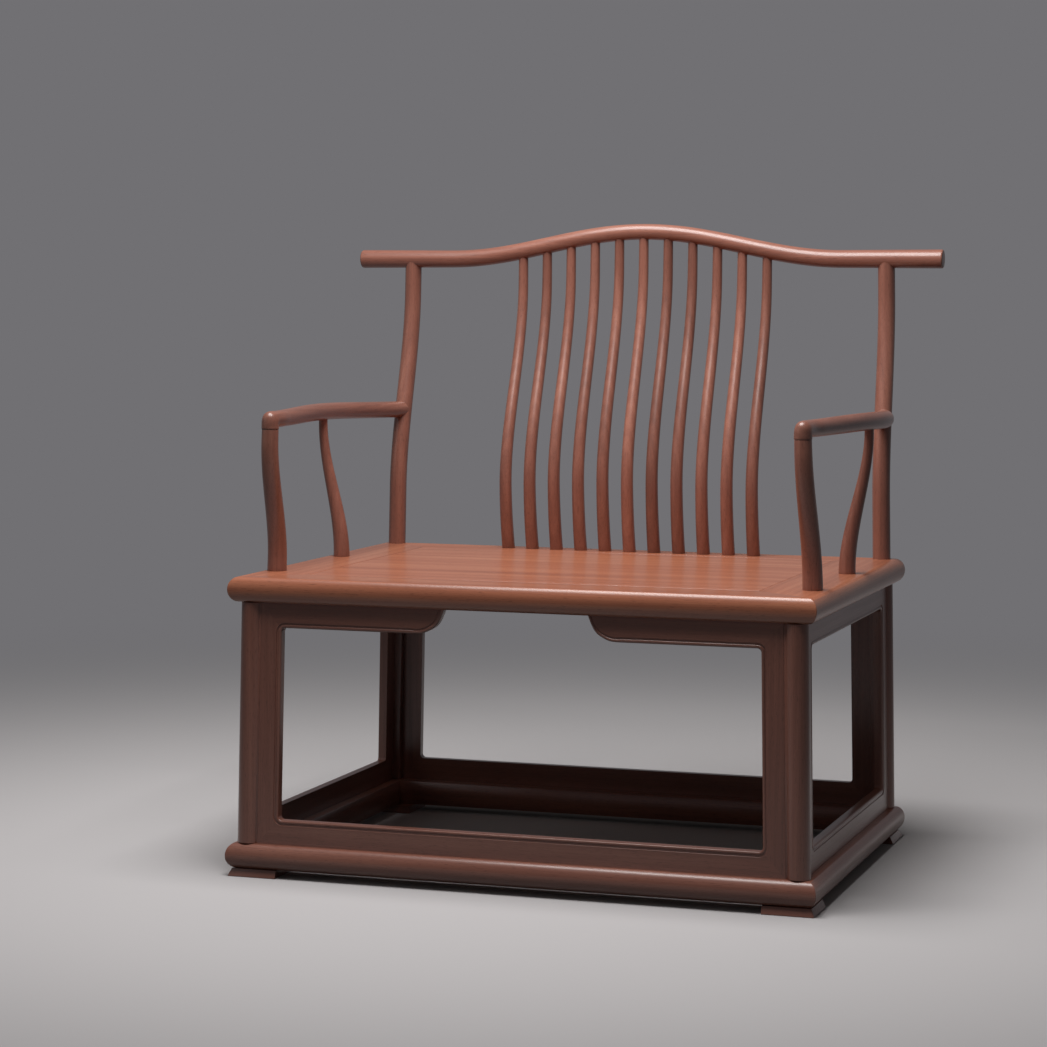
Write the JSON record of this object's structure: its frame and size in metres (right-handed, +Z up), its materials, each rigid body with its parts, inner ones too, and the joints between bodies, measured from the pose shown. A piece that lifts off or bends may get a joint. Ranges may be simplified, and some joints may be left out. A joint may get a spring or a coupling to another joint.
{
  "type": "official hat chair",
  "caption": "Wide low-backed wooden armchair with a projecting humped crest rail, vertical S-curved spindles, bowed arms, framed seat and moulded base frame.",
  "frame": {"origin": "on the floor under the middle of the overall width and depth; the middle of the seat and of the base frame is 20.2 mm in front of it", "axes": "+X toward the viewer's right seen from the front, +Y toward the back, +Z up"},
  "size_m": [0.9476, 0.6663, 0.9407],
  "materials": {
    "frame_wood": "satin oil and wax over reddish-brown hardwood",
    "panel_wood": "satin oil and wax over slightly lighter reddish-brown hardwood"
  },
  "bodies": {
    "root": {"arm_front_post_left": "frame_wood", "arm_front_post_right": "frame_wood", "arm_left": "frame_wood", "arm_right": "frame_wood", "arm_side_post_left": "frame_wood", "arm_side_post_right": "frame_wood", "back_spindle_01": "frame_wood", "back_spindle_02": "frame_wood", "back_spindle_03": "frame_wood", "back_spindle_04": "frame_wood", "back_spindle_05": "frame_wood", "back_spindle_06": "frame_wood", "back_spindle_07": "frame_wood", "back_spindle_08": "frame_wood", "back_spindle_09": "frame_wood", "back_spindle_10": "frame_wood", "back_spindle_11": "frame_wood", "base_rail_front": "frame_wood", "base_rail_left": "frame_wood", "base_rail_rear": "frame_wood", "base_rail_right": "frame_wood", "crest_rail": "frame_wood", "foot_front_left": "frame_wood", "foot_front_right": "frame_wood", "foot_rear_left": "frame_wood", "foot_rear_right": "frame_wood", "front_apron_left": "frame_wood", "front_apron_right": "frame_wood", "front_bottom_strip": "frame_wood", "front_left_strip": "frame_wood", "front_leg_left": "frame_wood", "front_leg_right": "frame_wood", "front_right_strip": "frame_wood", "left_apron": "frame_wood", "left_bottom_strip": "frame_wood", "left_front_strip": "frame_wood", "left_rear_strip": "frame_wood", "rear_apron": "frame_wood", "rear_bottom_strip": "frame_wood", "rear_left_strip": "frame_wood", "rear_leg_left": "frame_wood", "rear_leg_right": "frame_wood", "rear_right_strip": "frame_wood", "right_apron": "frame_wood", "right_bottom_strip": "frame_wood", "right_front_strip": "frame_wood", "right_rear_strip": "frame_wood", "seat_batten_left": "frame_wood", "seat_batten_right": "frame_wood", "seat_panel": "panel_wood", "seat_rail_front": "frame_wood", "seat_rail_left": "frame_wood", "seat_rail_rear": "frame_wood", "seat_rail_right": "frame_wood"}
  },
  "joints": []
}
